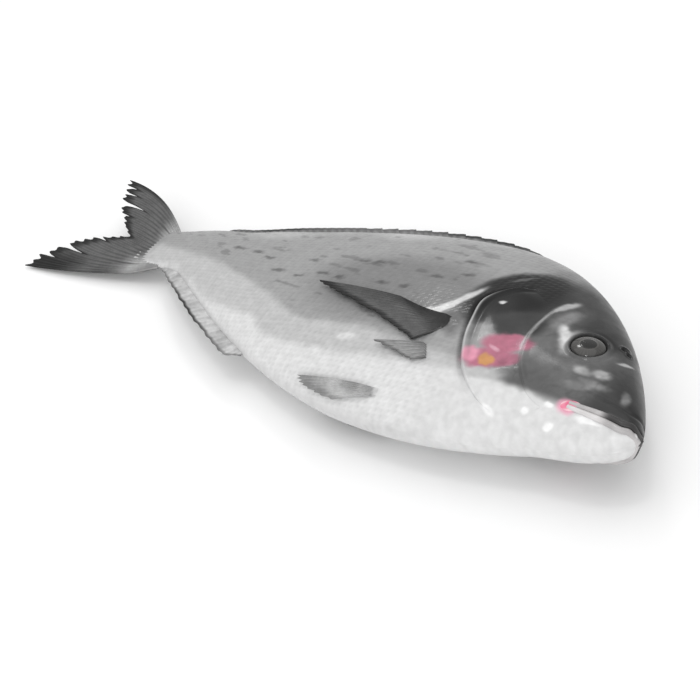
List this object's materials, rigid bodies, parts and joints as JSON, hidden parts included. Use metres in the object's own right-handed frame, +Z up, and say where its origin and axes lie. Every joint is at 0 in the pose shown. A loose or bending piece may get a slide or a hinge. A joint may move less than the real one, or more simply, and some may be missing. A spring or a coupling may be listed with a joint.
{
  "type": "whole raw fish",
  "caption": "Whole raw sea bream lying on its left flank, with silver skin, dark back and head, folded fins and a forked tail.",
  "frame": {"origin": "bottom centre of the box round the whole fish, on the surface that the fish lies on", "axes": "+X towards the snout along the fish, +Y towards its back, +Z up out of its right flank"},
  "size_m": [0.2996, 0.1078, 0.0355],
  "materials": {
    "skin": "wet silver fish skin, pale on the belly and dark on the head and tail; gloss_plastic stands in for it"
  },
  "bodies": {
    "root": {"fish": "skin"}
  },
  "joints": []
}
